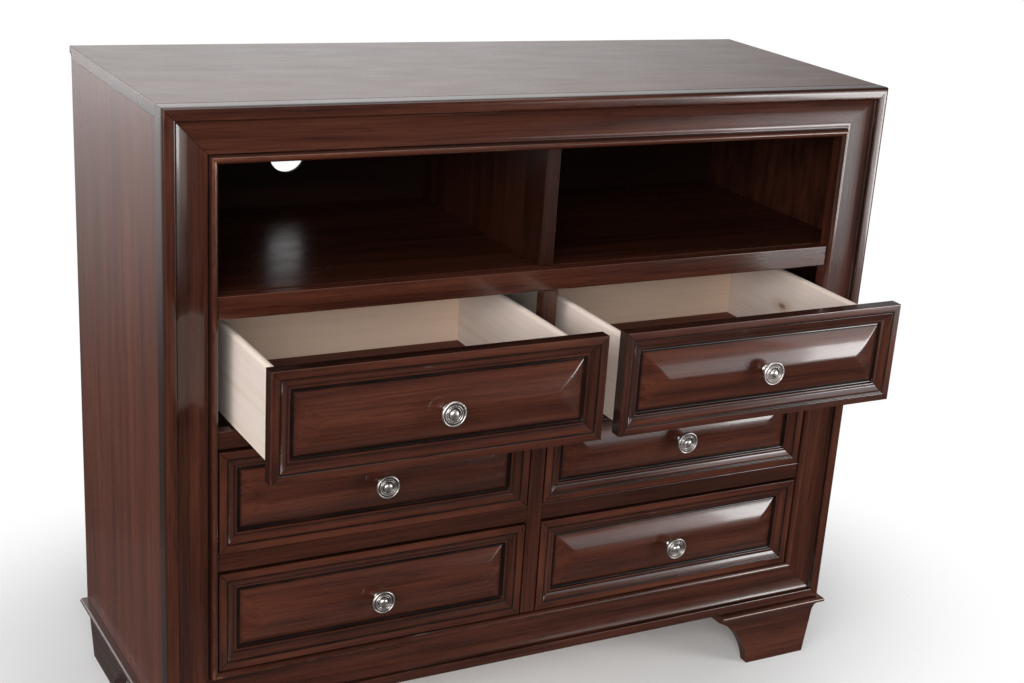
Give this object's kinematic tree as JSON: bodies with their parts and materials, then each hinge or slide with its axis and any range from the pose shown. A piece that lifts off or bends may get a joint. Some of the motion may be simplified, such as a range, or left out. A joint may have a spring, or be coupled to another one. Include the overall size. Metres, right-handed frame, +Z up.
{
  "type": "media chest",
  "caption": "Wooden media chest: two open bays with a cable hole over drawers with raised panels and round knobs, in a moulded frame on bracket feet.",
  "frame": {"origin": "On the floor, in the middle of the box round the chest with its two upper drawers pulled out as pictured", "axes": "+X to the right seen from the front, the front faces -Y, +Z up"},
  "size_m": [1.2192, 0.6822, 1.0395],
  "materials": {
    "cherry_frame": "dark cherry stain with black glaze in the grooves, satin lacquer",
    "cherry_front": "dark cherry stain with black glaze in the grooves, satin lacquer",
    "cherry_panel": "dark brown cherry veneer, satin lacquer",
    "interior": "very dark cherry stain, semi-gloss lacquer",
    "drawer_wood": "pale clear-lacquered birch",
    "drawer_bottom": "reddish-brown stained plywood",
    "hidden_wood": "bare softwood and plywood",
    "knob_metal": "satin nickel with dark grooves between the rings"
  },
  "bodies": {
    "chest": {"frame_top_rail": "cherry_frame", "frame_bottom_rail": "cherry_frame", "frame_left_stile": "cherry_frame", "frame_right_stile": "cherry_frame", "shelf_front_rail": "cherry_frame", "centre_stile": "cherry_frame", "drawer_rail_upper_left": "cherry_frame", "drawer_rail_upper_right": "cherry_frame", "drawer_rail_middle_left": "cherry_frame", "drawer_rail_middle_right": "cherry_frame", "foot_front_left": "cherry_frame", "foot_front_right": "cherry_frame", "base_side_left": "cherry_frame", "base_side_right": "cherry_frame", "top_panel": "cherry_panel", "side_panel_left": "cherry_panel", "side_panel_right": "cherry_panel", "media_shelf": "interior", "media_divider": "interior", "back_panel": "interior", "bottom_panel": "hidden_wood", "guide_rack_upper": "hidden_wood", "guide_rack_middle": "hidden_wood", "guide_rack_lower": "hidden_wood"},
    "drawer_upper_left": {"drawer_upper_left_front": "cherry_front", "drawer_upper_left_side_left": "drawer_wood", "drawer_upper_left_side_right": "drawer_wood", "drawer_upper_left_back": "drawer_wood", "drawer_upper_left_bottom": "drawer_bottom", "drawer_upper_left_knob": "knob_metal"},
    "drawer_upper_right": {"drawer_upper_right_front": "cherry_front", "drawer_upper_right_side_left": "drawer_wood", "drawer_upper_right_side_right": "drawer_wood", "drawer_upper_right_back": "drawer_wood", "drawer_upper_right_bottom": "drawer_bottom", "drawer_upper_right_knob": "knob_metal"},
    "drawer_middle_left": {"drawer_middle_left_front": "cherry_front", "drawer_middle_left_side_left": "drawer_wood", "drawer_middle_left_side_right": "drawer_wood", "drawer_middle_left_back": "drawer_wood", "drawer_middle_left_bottom": "drawer_bottom", "drawer_middle_left_knob": "knob_metal"},
    "drawer_middle_right": {"drawer_middle_right_front": "cherry_front", "drawer_middle_right_side_left": "drawer_wood", "drawer_middle_right_side_right": "drawer_wood", "drawer_middle_right_back": "drawer_wood", "drawer_middle_right_bottom": "drawer_bottom", "drawer_middle_right_knob": "knob_metal"},
    "drawer_lower_left": {"drawer_lower_left_front": "cherry_front", "drawer_lower_left_side_left": "drawer_wood", "drawer_lower_left_side_right": "drawer_wood", "drawer_lower_left_back": "drawer_wood", "drawer_lower_left_bottom": "drawer_bottom", "drawer_lower_left_knob": "knob_metal"},
    "drawer_lower_right": {"drawer_lower_right_front": "cherry_front", "drawer_lower_right_side_left": "drawer_wood", "drawer_lower_right_side_right": "drawer_wood", "drawer_lower_right_back": "drawer_wood", "drawer_lower_right_bottom": "drawer_bottom", "drawer_lower_right_knob": "knob_metal"}
  },
  "joints": [
    {"name": "drawer_upper_left_slide", "type": "slide", "parent": "chest", "child": "drawer_upper_left", "axis": [0, -1, 0], "range_m": [-0.2035, 0.0965]},
    {"name": "drawer_upper_right_slide", "type": "slide", "parent": "chest", "child": "drawer_upper_right", "axis": [0, -1, 0], "range_m": [-0.2035, 0.0965]},
    {"name": "drawer_middle_left_slide", "type": "slide", "parent": "chest", "child": "drawer_middle_left", "axis": [0, -1, 0], "range_m": [0, 0.3]},
    {"name": "drawer_middle_right_slide", "type": "slide", "parent": "chest", "child": "drawer_middle_right", "axis": [0, -1, 0], "range_m": [0, 0.3]},
    {"name": "drawer_lower_left_slide", "type": "slide", "parent": "chest", "child": "drawer_lower_left", "axis": [0, -1, 0], "range_m": [0, 0.3]},
    {"name": "drawer_lower_right_slide", "type": "slide", "parent": "chest", "child": "drawer_lower_right", "axis": [0, -1, 0], "range_m": [0, 0.3]}
  ]
}
